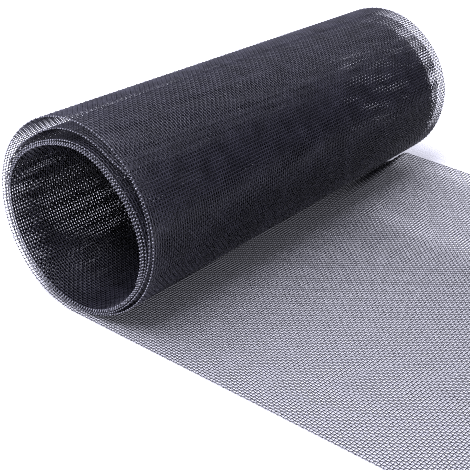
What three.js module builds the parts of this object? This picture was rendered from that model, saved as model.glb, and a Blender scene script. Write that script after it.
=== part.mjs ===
// A cut length of woven wire screen, rolled up loosely and partly unrolled again.
// It is one sheet: three slack turns and a free end that lies flat on the floor.
// Millimetres, +Z up. X runs along the roll, and the free end lies towards -Y.

import * as THREE from 'three';

// The sheet, as thick as its crimped wires with a little air.
const THICKNESS = 1.1;
const GAP_BETWEEN_TURNS = 0.3;
const FREE_LENGTH = 235;

// The wound part. It tapers slightly, and its axis lies a little askew to the sheet. Its
// foot is let down onto the floor over this many degrees to either side.
const NEAR_RADIUS = 56.1;
const TAPER = 0.0099;
const SKEW = 0.03;
const TURNS = 2.83;
const FOOT_SPREAD = 40;

// The far margin of the free end curls up off the floor. It starts to rise at this x, and
// towards the loose edge the curl dies down to a share of its full height. Beside the roll
// it comes up between these two distances from the roll's foot.
const CURL = { start: 190, height: 11.8, share: 0.58, leaves: 16, full: 32 };

// Where the cut edges run along X. The turns stand out a little at the far end.
const EDGES = [
  { turn: 0, near: 0, far: 300 },
  { turn: 0.3, near: 0.4, far: 308 },
  { turn: 0.6, near: 3.1, far: 307 },
  { turn: 0.85, near: 4, far: 308 },
  { turn: 1.15, near: 2.2, far: 303.5 },
  { turn: 1.3, near: 2.8, far: 302.5 },
  { turn: 1.5, near: 4.3, far: 301 },
  { turn: 2, near: 3.5, far: 301 },
  { turn: 3, near: 4, far: 301 },
];

// How far each turn stands in from a true spiral, at the roll's near and far end. It eases
// in and out at these degrees, counted from the floor, up the back and down the front.
// The outermost turn bellies out low on its front, and the others sag over the top.
const SLACK = [
  { turn: 0, leaves: 215, full: 268, eases: 300, meets: 345, near: -1.6, far: -1.6 },
  { turn: 1, leaves: 90, full: 120, eases: 210, meets: 235, near: 5.6, far: 2.4 },
  { turn: 2, leaves: 75, full: 170, eases: 215, meets: 300, near: 12.1, far: 7.7 },
];

// How finely the sheet is divided. The free end's rows lie at these distances from the
// roll's foot, closer where it curls up.
const STEPS_PER_TURN = 60;
const STEPS_ALONG_ROLL = 10;
const FREE_ROWS = [FREE_LENGTH, 190, 145, 100, 65, 45, 36, 32, 28, 24, 20, 16, 8];

const ROLL_LENGTH = EDGES[0].far - EDGES[0].near;
const TURN_LENGTH = 2 * Math.PI * NEAR_RADIUS;

// The sheet's slope is taken this far to either side of a point.
const REACH = 1;

const smooth = (value) => THREE.MathUtils.smoothstep(value, 0, 1);

// A column of the edge table at any turn, eased from row to row.
function edgeAt(turn, column) {
  const last = EDGES.findIndex((row) => row.turn >= turn);
  if (last <= 0) {
    return EDGES[0][column];
  }
  const [before, after] = [EDGES[last - 1], EDGES[last]];
  const share = (turn - before.turn) / (after.turn - before.turn);
  return THREE.MathUtils.lerp(before[column], after[column], smooth(share));
}

const axisY = (x) => SKEW * x;
const outerRadius = (x) => NEAR_RADIUS - TAPER * x;

function slackAt(turn, x) {
  const row = SLACK[Math.floor(turn)];
  const degrees = (turn - row.turn) * 360;
  const rise = smooth((degrees - row.leaves) / (row.full - row.leaves));
  const fall = smooth((degrees - row.eases) / (row.meets - row.eases));
  return THREE.MathUtils.lerp(row.near, row.far, x / ROLL_LENGTH) * rise * (1 - fall);
}

// How far the taper would leave the wound part off the floor, which its foot makes up.
function footAt(turn, x) {
  const degreesFromFloor = Math.abs((turn - Math.round(turn)) * 360);
  return TAPER * x * (1 - smooth(degreesFromFloor / FOOT_SPREAD));
}

// The middle of the sheet's thickness on the wound part, in the plane across the roll at x.
function woundPoint(turn, x) {
  const angle = turn * 2 * Math.PI;
  const inset = THICKNESS / 2 + (THICKNESS + GAP_BETWEEN_TURNS) * turn + slackAt(turn, x);
  const radius = outerRadius(x) - inset + footAt(turn, x);
  return new THREE.Vector2(
    axisY(x) + radius * Math.sin(angle),
    NEAR_RADIUS - radius * Math.cos(angle),
  );
}

// How high the free end stands off the floor, at x and this far out from the roll's foot.
function curlAt(x, distance) {
  const across = Math.max(0, (x - CURL.start) / (ROLL_LENGTH - CURL.start));
  const along = THREE.MathUtils.lerp(1, CURL.share, distance / FREE_LENGTH);
  const rise = smooth((distance - CURL.leaves) / (CURL.full - CURL.leaves));
  return CURL.height * across * across * along * rise;
}

// The middle of the sheet's thickness on the free end, this far out from the roll's foot.
// The loose edge is square to the near edge, and the rows turn to the line of the foot.
function freePoint(distance, x) {
  const y = axisY(x) * (1 - distance / FREE_LENGTH) - distance;
  return new THREE.Vector2(y, THICKNESS / 2 + curlAt(x, distance));
}

// The sheet from its free end to its inner end.
function sheetStations() {
  const stations = FREE_ROWS.map((distance) => ({ distance, turn: 0 }));
  const woundSteps = Math.round(TURNS * STEPS_PER_TURN);
  for (let step = 0; step <= woundSteps; step += 1) {
    stations.push({ distance: 0, turn: step / STEPS_PER_TURN });
  }
  return stations;
}

// The two faces of the sheet at one station, square to its middle.
function facesAt({ distance, turn }, across) {
  const x = THREE.MathUtils.lerp(edgeAt(turn, 'near'), edgeAt(turn, 'far'), across);
  const pointAt = (reach) => (turn === 0
    ? freePoint(distance - reach, x)
    : woundPoint(turn + reach / TURN_LENGTH, x));
  const middle = pointAt(0);
  const along = pointAt(REACH).sub(pointAt(-REACH)).normalize();
  const outward = new THREE.Vector2(along.y, -along.x).multiplyScalar(THICKNESS / 2);
  return {
    under: [x, middle.x + outward.x, middle.y + outward.y],
    over: [x, middle.x - outward.x, middle.y - outward.y],
  };
}

// One closed body: each row across the sheet runs along its under face and back along
// its over face, and the first and last rows are closed by the cut edges.
function sheetGeometry() {
  const stations = sheetStations();
  const ring = 2 * stations.length;
  const positions = [];
  for (let step = 0; step <= STEPS_ALONG_ROLL; step += 1) {
    const faces = stations.map((station) => facesAt(station, step / STEPS_ALONG_ROLL));
    faces.forEach((face) => positions.push(...face.under));
    faces.reverse().forEach((face) => positions.push(...face.over));
  }

  const triangles = [];
  const quad = (a, b, c, d) => triangles.push(a, b, c, a, c, d);
  for (let row = 0; row < STEPS_ALONG_ROLL; row += 1) {
    for (let column = 0; column < ring; column += 1) {
      const next = (column + 1) % ring;
      quad(row * ring + column, row * ring + next, (row + 1) * ring + next,
        (row + 1) * ring + column);
    }
  }
  const lastRow = STEPS_ALONG_ROLL * ring;
  for (let column = 0; column < stations.length - 1; column += 1) {
    const [under, nextUnder] = [column, column + 1];
    const [over, nextOver] = [ring - 1 - column, ring - 2 - column];
    quad(under, over, nextOver, nextUnder);
    quad(lastRow + under, lastRow + nextUnder, lastRow + nextOver, lastRow + over);
  }

  const geometry = new THREE.BufferGeometry();
  geometry.setAttribute('position', new THREE.Float32BufferAttribute(positions, 3));
  geometry.setIndex(triangles);
  geometry.computeVertexNormals();
  return geometry;
}

// The origin is under the middle of the whole piece, on the floor.
function centreOnFloor(mesh) {
  mesh.geometry.computeBoundingBox();
  const centre = mesh.geometry.boundingBox.getCenter(new THREE.Vector3());
  mesh.position.set(-centre.x, -centre.y, -mesh.geometry.boundingBox.min.z);
}

const charcoal = new THREE.MeshStandardMaterial({
  color: 0x41434c,
  roughness: 0.45,
  metalness: 0.6,
});

const sheet = new THREE.Mesh(sheetGeometry(), charcoal);
sheet.name = 'wire_mesh_roll';
centreOnFloor(sheet);

const part = new THREE.Group();
part.add(sheet);

export default part;
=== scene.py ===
# A roll of dark woven wire screen with its free end laid out flat, every wire modelled.
# Lengths are millimetres on the sheet, and become metres as the meshes are made.

import math

import bpy
import numpy as np
from mathutils import Matrix, Vector


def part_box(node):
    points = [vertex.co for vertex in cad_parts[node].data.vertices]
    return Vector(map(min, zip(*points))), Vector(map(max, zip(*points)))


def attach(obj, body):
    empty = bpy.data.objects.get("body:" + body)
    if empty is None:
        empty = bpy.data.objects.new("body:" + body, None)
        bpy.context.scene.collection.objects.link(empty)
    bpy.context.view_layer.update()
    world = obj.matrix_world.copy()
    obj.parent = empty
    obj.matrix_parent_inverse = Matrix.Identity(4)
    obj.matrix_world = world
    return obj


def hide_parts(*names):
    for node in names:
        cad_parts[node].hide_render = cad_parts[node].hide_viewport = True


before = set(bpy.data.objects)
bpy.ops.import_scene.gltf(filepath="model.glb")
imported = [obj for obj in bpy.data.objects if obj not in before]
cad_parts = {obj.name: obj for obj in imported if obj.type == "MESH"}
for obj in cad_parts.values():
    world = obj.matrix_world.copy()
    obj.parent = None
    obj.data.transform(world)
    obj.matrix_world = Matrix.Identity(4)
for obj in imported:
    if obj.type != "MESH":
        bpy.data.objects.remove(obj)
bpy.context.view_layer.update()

MM = 0.001
ROLL = "wire_mesh_roll"
BODY = "root"
FREE_END = "screen_free_end"

# The sheet and the roll, as the solid has them.
SHEET_THICKNESS = 1.1
TURN_PITCH = 1.4
FREE_LENGTH = 235.0
ROLL_LENGTH = 300.0
NEAR_RADIUS = 56.1
TAPER = 0.0099
SKEW = 0.03
FOOT_SPREAD = 40.0

# At the foot and up the back the turns lie at the tight pitch. That is less than two wires
# are thick, so the wires of neighbouring turns run into each other there. The turns stand
# apart over the top and down the front: the degrees from the floor at which they leave,
# are full, ease, meet.
TIGHT_PITCH = 0.55
APART = (85.0, 145.0, 300.0, 360.0)
# From this turn inwards, the turns lie at the tight pitch all round.
TIGHT_FROM = 3
LAST_TURN = 5.83

# The far margin of the free end, which curls up off the floor.
CURL_START = 190.0
CURL_HEIGHT = 11.8
CURL_SHARE = 0.58
CURL_LEAVES = 16.0
CURL_FULL = 32.0

# Where the cut edges run along X: turn, near edge, far edge. Past the first turn, most
# were set by trial for how dark the bore looks.
EDGES = [
    (0.0, 0.0, 300.0),
    (0.3, 0.4, 308.0),
    (0.6, 3.1, 307.0),
    (0.85, 4.0, 308.0),
    (1.15, 2.2, 305.0),
    (1.3, 2.2, 305.0),
    (1.5, 4.3, 303.0),
    (2.0, 3.5, 301.5),
    (3.0, 4.0, 299.5),
    (4.5, 4.0, 298.0),
    (6.0, 3.0, 304.0),
]
NEAR_COLUMN = 1
FAR_COLUMN = 2

# How far each turn stands in from a true spiral, in degrees from the floor, up the back
# and down the front: leaves, full, eases, meets, then how far at the near and far end.
SLACK = [
    (215.0, 268.0, 300.0, 345.0, -1.6, -1.6),
    (85.0, 150.0, 210.0, 235.0, 5.6, 2.4),
    (85.0, 165.0, 215.0, 290.0, 10.2, 6.3),
] + [(85.0, 170.0, 215.0, 300.0, 10.7, 6.7)] * 3

# How finely the length along the sheet is measured, and how far to either side of a point
# the sheet's directions are taken: along it, and across it as a share of its width.
LENGTH_STEPS = 4000
REACH_ALONG = 0.8
REACH_ACROSS = 0.003

# The weave. A warp swings to either side of the sheet's middle by the crimp, and still
# runs into the straight wefts a little where it passes over and under them.
WIRE = 0.45
WARP_PITCH = 1.77
WEFT_PITCH = 1.859
CRIMP = 0.28
WEFT_STEPS = 16
# The wefts' ends are snipped, and show bare metal over this length.
CUT_END = 0.6
WARPS = int(round(ROLL_LENGTH / WARP_PITCH))
WARP_ACROSS = (np.arange(WARPS) + 0.5) / WARPS

# A wire is a three-sided tube. Its corners stand a little further out than a round wire's
# surface, so that it covers about as much, and are turned by this share of a side.
WIRE_SIDES = 3
CORNERS_OUT = 1.2
CORNERS_TURNED = 0.25
WIRE_RADIUS = WIRE / 2 * CORNERS_OUT
# The flat area of the wires as drawn, as a share of the screen's.
WIRE_AREA = 0.53

# The hidden turns have straight wires, which pass through each other where they cross.
# Their warps have a point at every fifth weft. All are thicker by the swell, which was set
# by trial for how dark the bore looks.
HIDDEN_STRIDE = 5
HIDDEN_WEFT_STEPS = 8
HIDDEN_SWELL = 1.15

# Each piece of the roll: its name, the turn it ends at, and whether it is hidden. Hidden
# pieces take the darker charcoal, which is painted shade.
PIECES = [
    ("screen_turn_1_back", 0.5, False),
    ("screen_turn_1_front", 1.0, False),
    ("screen_turn_2_back", 1.5, False),
    ("screen_turn_2_front", 2.0, False),
    ("screen_turn_3_back", 2.5, True),
    ("screen_turn_3_front", 3.0, False),
    ("screen_turns_4_and_5", 4.83, True),
    ("screen_turn_6", LAST_TURN, False),
]

# The finishes. Noise scales are per metre and the bump's height is in metres.
CHARCOAL = {
    "dark": (0.016, 0.0155, 0.022),
    "light": (0.032, 0.031, 0.043),
    "low_rough": 0.26,
    "high_rough": 0.4,
    "scale": 90.0,
    "bump_height": 0.00003,
    "shine": 0.5,
}
# The hidden turns are painted darker and duller than the outer wires. This is painted shade
# for the inside of the roll, set by trial for how dark the bore looks.
CHARCOAL_INSIDE_PAINTED_SHADE = {
    "dark": (0.007, 0.007, 0.010),
    "light": (0.014, 0.014, 0.019),
    "low_rough": 0.38,
    "high_rough": 0.55,
    "scale": 90.0,
    "bump_height": 0.00003,
    "shine": 0.35,
}
BARE_METAL = {
    "dark": (0.10, 0.10, 0.12),
    "light": (0.48, 0.48, 0.53),
    "low_rough": 0.3,
    "high_rough": 0.45,
    "scale": 700.0,
    "bump_height": 0.00002,
    "shine": 0.5,
}
# The part of each noise that its colours or roughness are spread over.
MOTTLE_RANGE = (0.35, 0.65)
MOTTLE_DETAIL = 4.0
WEAR_RANGE = (0.3, 0.7)
WEAR_TO_MOTTLE = 2.3
GRIT_SCALE = 2600.0
FINE_DETAIL = 2.0
BUMP_STRENGTH = 0.35

# The stage and its light, in metres and watts. The floor lies just under the sheet.
FLOOR_SIZE = 6
FLOOR_HEIGHT = -0.0002
FLOOR_COLOUR = (0.9, 0.9, 0.9, 1)
FLOOR_ROUGHNESS = 0.9
FLOOR_GLOW = 0.14
# A faintly cool studio light.
LIGHT_TINT = (0.97, 0.97, 1.14)
# The sky is brightest up and behind the roll. It runs from its lowest to its highest
# strength as a direction turns towards there.
SKY_BRIGHTEST = (0.0, 0.55, 0.835)
SKY_TURN = (-0.1, 1.0)
SKY_STRENGTH = (0.03, 1.15)
# Each lamp's name, place, size and power. Both are aimed at the origin.
LAMPS = [
    ("key", (-0.62, -0.08, 1.2), 0.6, 19.5),
    ("back", (-0.35, 0.5, 1.1), 0.7, 12),
]
LAMP_AIM = (0, 0, 0.0)

# The camera, in millimetres from the near end of the roll's line on the floor, with its
# tilt in degrees. Its focal length is given as a multiple of the picture's width.
CAMERA_FROM_ROLL = (-347.5, -391.3, 310.5)
AIM_FROM_ROLL = (132.6, -3.5, 0.0)
CAMERA_TILT = 2.06
FOCAL_SHARE = 1105.8 / 470
SENSOR_WIDTH = 36
CLIP_END = 20

# A little sharper than the default, for the weave's sake.
PIXEL_FILTER = 1.15

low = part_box(ROLL)[0]
ORIGIN = Vector((low[0], low[1] + FREE_LENGTH * MM, low[2]))


def smooth(value):
    value = np.clip(value, 0.0, 1.0)
    return value * value * (3 - 2 * value)


def edge_at(turn, column):
    """One column of the edge table at these turns, eased from row to row."""
    turn = np.asarray(turn, float)
    result = np.full(turn.shape, EDGES[0][column])
    for before, after in zip(EDGES[:-1], EDGES[1:]):
        share = smooth((turn - before[0]) / (after[0] - before[0]))
        value = before[column] * (1 - share) + after[column] * share
        result = np.where(turn > before[0], value, result)
    return result


def slack_at(turn, x):
    """How far the sheet stands in from a true spiral."""
    turn = np.asarray(turn, float)
    result = np.zeros(np.broadcast(turn, x).shape)
    for number, (leaves, full, eases, meets, near, far) in enumerate(SLACK):
        degrees = (turn - number) * 360
        rise = smooth((degrees - leaves) / (full - leaves))
        fall = smooth((degrees - eases) / (meets - eases))
        result = result + (near + (far - near) * x / ROLL_LENGTH) * rise * (1 - fall)
    return result


def foot_at(turn, x):
    """How far the taper would leave the roll off the floor, which its foot makes up."""
    degrees = np.abs(turn - np.round(turn)) * 360
    return TAPER * x * (1 - smooth(degrees / FOOT_SPREAD))


def curl_at(x, distance):
    """How high the free end stands off the floor, this far out from the roll's foot."""
    across = np.clip((x - CURL_START) / (ROLL_LENGTH - CURL_START), 0, None)
    along = 1 + (CURL_SHARE - 1) * distance / FREE_LENGTH
    rise = smooth((distance - CURL_LEAVES) / (CURL_FULL - CURL_LEAVES))
    return CURL_HEIGHT * across * across * along * rise


def wound_point(turn, x):
    """The sheet's middle, as y and z, on the wound part."""
    angle = 2 * np.pi * turn
    degrees = (turn - np.floor(turn)) * 360
    leaves, full, eases, meets = APART
    apart = (smooth((degrees - leaves) / (full - leaves))
             * (1 - smooth((degrees - eases) / (meets - eases))))
    spare = (TURN_PITCH - TIGHT_PITCH) * np.minimum(turn, TIGHT_FROM) * apart
    inset = SHEET_THICKNESS / 2 + TIGHT_PITCH * turn + spare + slack_at(turn, x)
    radius = NEAR_RADIUS - TAPER * x - inset + foot_at(turn, x)
    return SKEW * x + radius * np.sin(angle), NEAR_RADIUS - radius * np.cos(angle)


def free_point(distance, x):
    """The sheet's middle, as y and z, on the free end."""
    y = SKEW * x * (1 - distance / FREE_LENGTH) - distance
    return y, SHEET_THICKNESS / 2 + curl_at(x, distance)


def length_table():
    """The length run along the sheet's middle line for even steps of turn."""
    turns = np.linspace(0, LAST_TURN, LENGTH_STEPS)
    y, z = wound_point(turns, np.full(turns.shape, ROLL_LENGTH / 2))
    run = np.concatenate([[0], np.cumsum(np.hypot(np.diff(y), np.diff(z)))])
    return run, turns


RUN, RUN_TURNS = length_table()


def sheet_point(run, across):
    """Points on the sheet's middle. run is the length from the roll's foot, below zero on
    the free end, and across is the share of the width from the near edge."""
    run, across = np.broadcast_arrays(np.asarray(run, float), np.asarray(across, float))
    turn = np.interp(run, RUN, RUN_TURNS)
    near, far = edge_at(turn, NEAR_COLUMN), edge_at(turn, FAR_COLUMN)
    x = near + (far - near) * across
    y_wound, z_wound = wound_point(turn, x)
    distance = np.clip(-run, 0, None)
    y_free, z_free = free_point(distance, x)
    free = run < 0
    return np.stack([x, np.where(free, y_free, y_wound),
                     np.where(free, z_free, z_wound)], axis=-1)


def unit(vectors):
    return vectors / np.linalg.norm(vectors, axis=-1, keepdims=True)


def sheet_frame(run, across):
    """Point, direction along the sheet, direction across it and the sheet's normal."""
    point = sheet_point(run, across)
    along = unit(sheet_point(run + REACH_ALONG, across)
                 - sheet_point(run - REACH_ALONG, across))
    sideways = unit(sheet_point(run, across + REACH_ACROSS)
                    - sheet_point(run, across - REACH_ACROSS))
    normal = unit(np.cross(sideways, along))
    return point, along, sideways, normal


def tubes(centres, side, up, radius, cut=False):
    """Closed tubes along rows of centres: points, quads, caps, and the material number of
    each quad and cap. The first and last stretch of a cut tube show bare metal."""
    count, steps = centres.shape[:2]
    angles = 2 * np.pi * (np.arange(WIRE_SIDES) + CORNERS_TURNED) / WIRE_SIDES
    ring = (centres[:, :, None, :]
            + radius * (np.cos(angles)[:, None] * side[:, :, None, :]
                        + np.sin(angles)[:, None] * up[:, :, None, :]))
    points = ring.reshape(-1, 3)
    index = np.arange(count * steps * WIRE_SIDES).reshape(count, steps, WIRE_SIDES)
    turned = np.roll(index, -1, axis=2)
    quads = np.stack([index[:, :-1], turned[:, :-1], turned[:, 1:], index[:, 1:]], axis=-1)
    caps = np.concatenate([index[:, 0, ::-1], index[:, -1]])
    bare = np.zeros(quads.shape[:3], np.int32)
    if cut:
        bare[:, [0, -1]] = 1
    return points, quads.reshape(-1, 4), caps, bare.ravel(), np.full(len(caps), int(cut))


def add_mesh(name, parts, materials):
    """One mesh object from what tubes gives."""
    starts = np.cumsum([0] + [len(part[0]) for part in parts[:-1]])
    points = np.concatenate([part[0] for part in parts])
    quads = np.concatenate([part[1] + start for part, start in zip(parts, starts)])
    caps = np.concatenate([part[2] + start for part, start in zip(parts, starts)])
    numbers = np.concatenate([part[3] for part in parts] + [part[4] for part in parts])
    loops = np.concatenate([quads.ravel(), caps.ravel()])
    sizes = np.concatenate([np.full(len(quads), 4), np.full(len(caps), caps.shape[1])])
    loop_starts = np.concatenate([[0], np.cumsum(sizes)[:-1]])
    smooth_faces = np.concatenate([np.ones(len(quads), bool), np.zeros(len(caps), bool)])

    mesh = bpy.data.meshes.new(name)
    mesh.vertices.add(len(points))
    mesh.vertices.foreach_set("co", (points * MM + np.array(ORIGIN)).ravel())
    mesh.loops.add(len(loops))
    mesh.loops.foreach_set("vertex_index", loops.astype(np.int32))
    mesh.polygons.add(len(sizes))
    mesh.polygons.foreach_set("loop_start", loop_starts.astype(np.int32))
    mesh.polygons.foreach_set("use_smooth", smooth_faces)
    for material in materials:
        mesh.materials.append(material)
    mesh.polygons.foreach_set("material_index", numbers.astype(np.int32))
    mesh.update()
    mesh.validate()
    piece = bpy.data.objects.new(name, mesh)
    bpy.context.scene.collection.objects.link(piece)
    return piece


def weave(name, first_weft, last_weft, materials, hidden=False):
    """The screen between two wefts, counted from the roll's foot, with its flat width,
    its flat length and the flat area of its wires."""
    stride = HIDDEN_STRIDE if hidden else 1
    swell = HIDDEN_SWELL if hidden else 1.0
    steps = np.unique(np.append(np.arange(first_weft, last_weft, stride), last_weft))
    grid_run, grid_across = np.meshgrid(steps * WEFT_PITCH, WARP_ACROSS)
    point, _, sideways, normal = sheet_frame(grid_run, grid_across)
    over = np.where((np.arange(WARPS)[:, None] + steps[None, :]) % 2 == 0, 1.0, -1.0)
    crimp = 0.0 if hidden else CRIMP
    warp_centres = point + normal * (over * crimp)[..., None]
    warps = tubes(warp_centres, sideways, normal, WIRE_RADIUS * swell)

    wefts_run = np.arange(first_weft, last_weft) * WEFT_PITCH
    share = np.linspace(0, 1, HIDDEN_WEFT_STEPS if hidden else WEFT_STEPS)
    share = np.sort(np.append(share, [CUT_END / ROLL_LENGTH, 1 - CUT_END / ROLL_LENGTH]))
    grid_run, grid_across = np.meshgrid(wefts_run, share, indexing="ij")
    point, along, _, normal = sheet_frame(grid_run, grid_across)
    wefts = tubes(point, along, normal, WIRE_RADIUS * swell, cut=True)

    piece = add_mesh(name, [warps, wefts], materials)
    width = ROLL_LENGTH * MM
    length = (last_weft - first_weft) * WEFT_PITCH * MM
    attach(piece, BODY)
    return piece, width, length, WIRE_AREA * swell * width * length


def noise(nodes, links, place, scale, detail):
    """A noise texture in object coordinates, which are metres."""
    texture = nodes.new("ShaderNodeTexNoise")
    texture.inputs["Scale"].default_value = scale
    texture.inputs["Detail"].default_value = detail
    links.new(place.outputs["Object"], texture.inputs["Vector"])
    return texture


def coated_material(name, dark, light, low_rough, high_rough, scale, bump_height, shine):
    """A procedural finish: mottled colour and roughness, and a fine uneven surface."""
    material = bpy.data.materials.new(name)
    material.use_nodes = True
    nodes, links = material.node_tree.nodes, material.node_tree.links
    shader = nodes["Principled BSDF"]
    place = nodes.new("ShaderNodeTexCoord")

    mottle = noise(nodes, links, place, scale, MOTTLE_DETAIL)
    tone = nodes.new("ShaderNodeValToRGB")
    for end, position, colour in zip(tone.color_ramp.elements, MOTTLE_RANGE, (dark, light)):
        end.position = position
        end.color = (*colour, 1)
    links.new(mottle.outputs["Fac"], tone.inputs["Fac"])
    links.new(tone.outputs["Color"], shader.inputs["Base Color"])

    wear = noise(nodes, links, place, scale * WEAR_TO_MOTTLE, FINE_DETAIL)
    rough = nodes.new("ShaderNodeMapRange")
    rough.inputs["From Min"].default_value = WEAR_RANGE[0]
    rough.inputs["From Max"].default_value = WEAR_RANGE[1]
    rough.inputs["To Min"].default_value = low_rough
    rough.inputs["To Max"].default_value = high_rough
    links.new(wear.outputs["Fac"], rough.inputs["Value"])
    links.new(rough.outputs["Result"], shader.inputs["Roughness"])

    grit = noise(nodes, links, place, GRIT_SCALE, FINE_DETAIL)
    bump = nodes.new("ShaderNodeBump")
    bump.inputs["Strength"].default_value = BUMP_STRENGTH
    bump.inputs["Distance"].default_value = bump_height
    links.new(grit.outputs["Fac"], bump.inputs["Height"])
    links.new(bump.outputs["Normal"], shader.inputs["Normal"])
    shader.inputs["Specular IOR Level"].default_value = shine
    return material


def build_roll():
    wire = coated_material("charcoal_wire", **CHARCOAL)
    # The inside turns' charcoal is painted shade: the same finish made darker, for light
    # that does not reach into the roll.
    inner_wire_painted_shade = coated_material("charcoal_wire_inside_painted_shade", **CHARCOAL_INSIDE_PAINTED_SHADE)
    snipped = coated_material("snipped_end", **BARE_METAL)
    free_wefts = int(FREE_LENGTH / WEFT_PITCH)
    pieces = [weave(FREE_END, -free_wefts, 0, [wire, snipped])]
    first = 0
    for name, end, hidden in PIECES:
        last = int(np.interp(end, RUN_TURNS, RUN) / WEFT_PITCH)
        # Hidden turns get the darker charcoal as painted shade.
        finish = inner_wire_painted_shade if hidden else wire
        pieces.append(weave(name, first, last, [finish, snipped], hidden))
        first = last
    for piece, width, length, area in pieces:
        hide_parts(ROLL)


def build_stage():
    bpy.ops.mesh.primitive_plane_add(size=FLOOR_SIZE, location=(0, 0, FLOOR_HEIGHT))
    floor = bpy.context.object
    floor.name = "floor"
    material = bpy.data.materials.new("floor_white")
    material.use_nodes = True
    shader = material.node_tree.nodes["Principled BSDF"]
    shader.inputs["Base Color"].default_value = FLOOR_COLOUR
    shader.inputs["Emission Color"].default_value = (*LIGHT_TINT, 1)
    shader.inputs["Emission Strength"].default_value = FLOOR_GLOW
    shader.inputs["Roughness"].default_value = FLOOR_ROUGHNESS
    floor.data.materials.append(material)


def add_lamp(name, place, size, power):
    light = bpy.data.lights.new(name, "AREA")
    light.size = size
    light.energy = power
    light.color = LIGHT_TINT
    lamp = bpy.data.objects.new(name, light)
    lamp.location = place
    aim = Vector(LAMP_AIM) - Vector(place)
    lamp.rotation_euler = aim.to_track_quat("-Z", "Y").to_euler()
    bpy.context.scene.collection.objects.link(lamp)


def build_light():
    world = bpy.data.worlds.new("studio")
    world.use_nodes = True
    nodes, links = world.node_tree.nodes, world.node_tree.links
    background = nodes["Background"]
    background.inputs["Color"].default_value = (*LIGHT_TINT, 1)
    place = nodes.new("ShaderNodeTexCoord")
    dot = nodes.new("ShaderNodeVectorMath")
    dot.operation = "DOT_PRODUCT"
    dot.inputs[1].default_value = SKY_BRIGHTEST
    links.new(place.outputs["Generated"], dot.inputs[0])
    strength = nodes.new("ShaderNodeMapRange")
    strength.inputs["From Min"].default_value = SKY_TURN[0]
    strength.inputs["From Max"].default_value = SKY_TURN[1]
    strength.inputs["To Min"].default_value = SKY_STRENGTH[0]
    strength.inputs["To Max"].default_value = SKY_STRENGTH[1]
    links.new(dot.outputs["Value"], strength.inputs["Value"])
    links.new(strength.outputs["Result"], background.inputs["Strength"])
    bpy.context.scene.world = world
    for name, place, size, power in LAMPS:
        add_lamp(name, place, size, power)


def build_camera():
    camera_data = bpy.data.cameras.new("camera")
    camera_data.sensor_width = SENSOR_WIDTH
    camera_data.lens = SENSOR_WIDTH * FOCAL_SHARE
    camera_data.clip_end = CLIP_END
    camera = bpy.data.objects.new("camera", camera_data)
    place = ORIGIN + Vector(CAMERA_FROM_ROLL) * MM
    aim = ORIGIN + Vector(AIM_FROM_ROLL) * MM
    turn = (aim - place).to_track_quat("-Z", "Y").to_matrix().to_4x4()
    tilt = Matrix.Rotation(math.radians(CAMERA_TILT), 4, "Z")
    camera.matrix_world = Matrix.Translation(place) @ turn @ tilt
    bpy.context.scene.collection.objects.link(camera)
    bpy.context.scene.camera = camera


build_camera()
build_stage()
build_light()
build_roll()

bpy.context.scene.view_settings.view_transform = "Standard"
bpy.context.scene.cycles.filter_width = PIXEL_FILTER
# Denoising smears the weave into bands.
bpy.context.scene.cycles.use_denoising = False
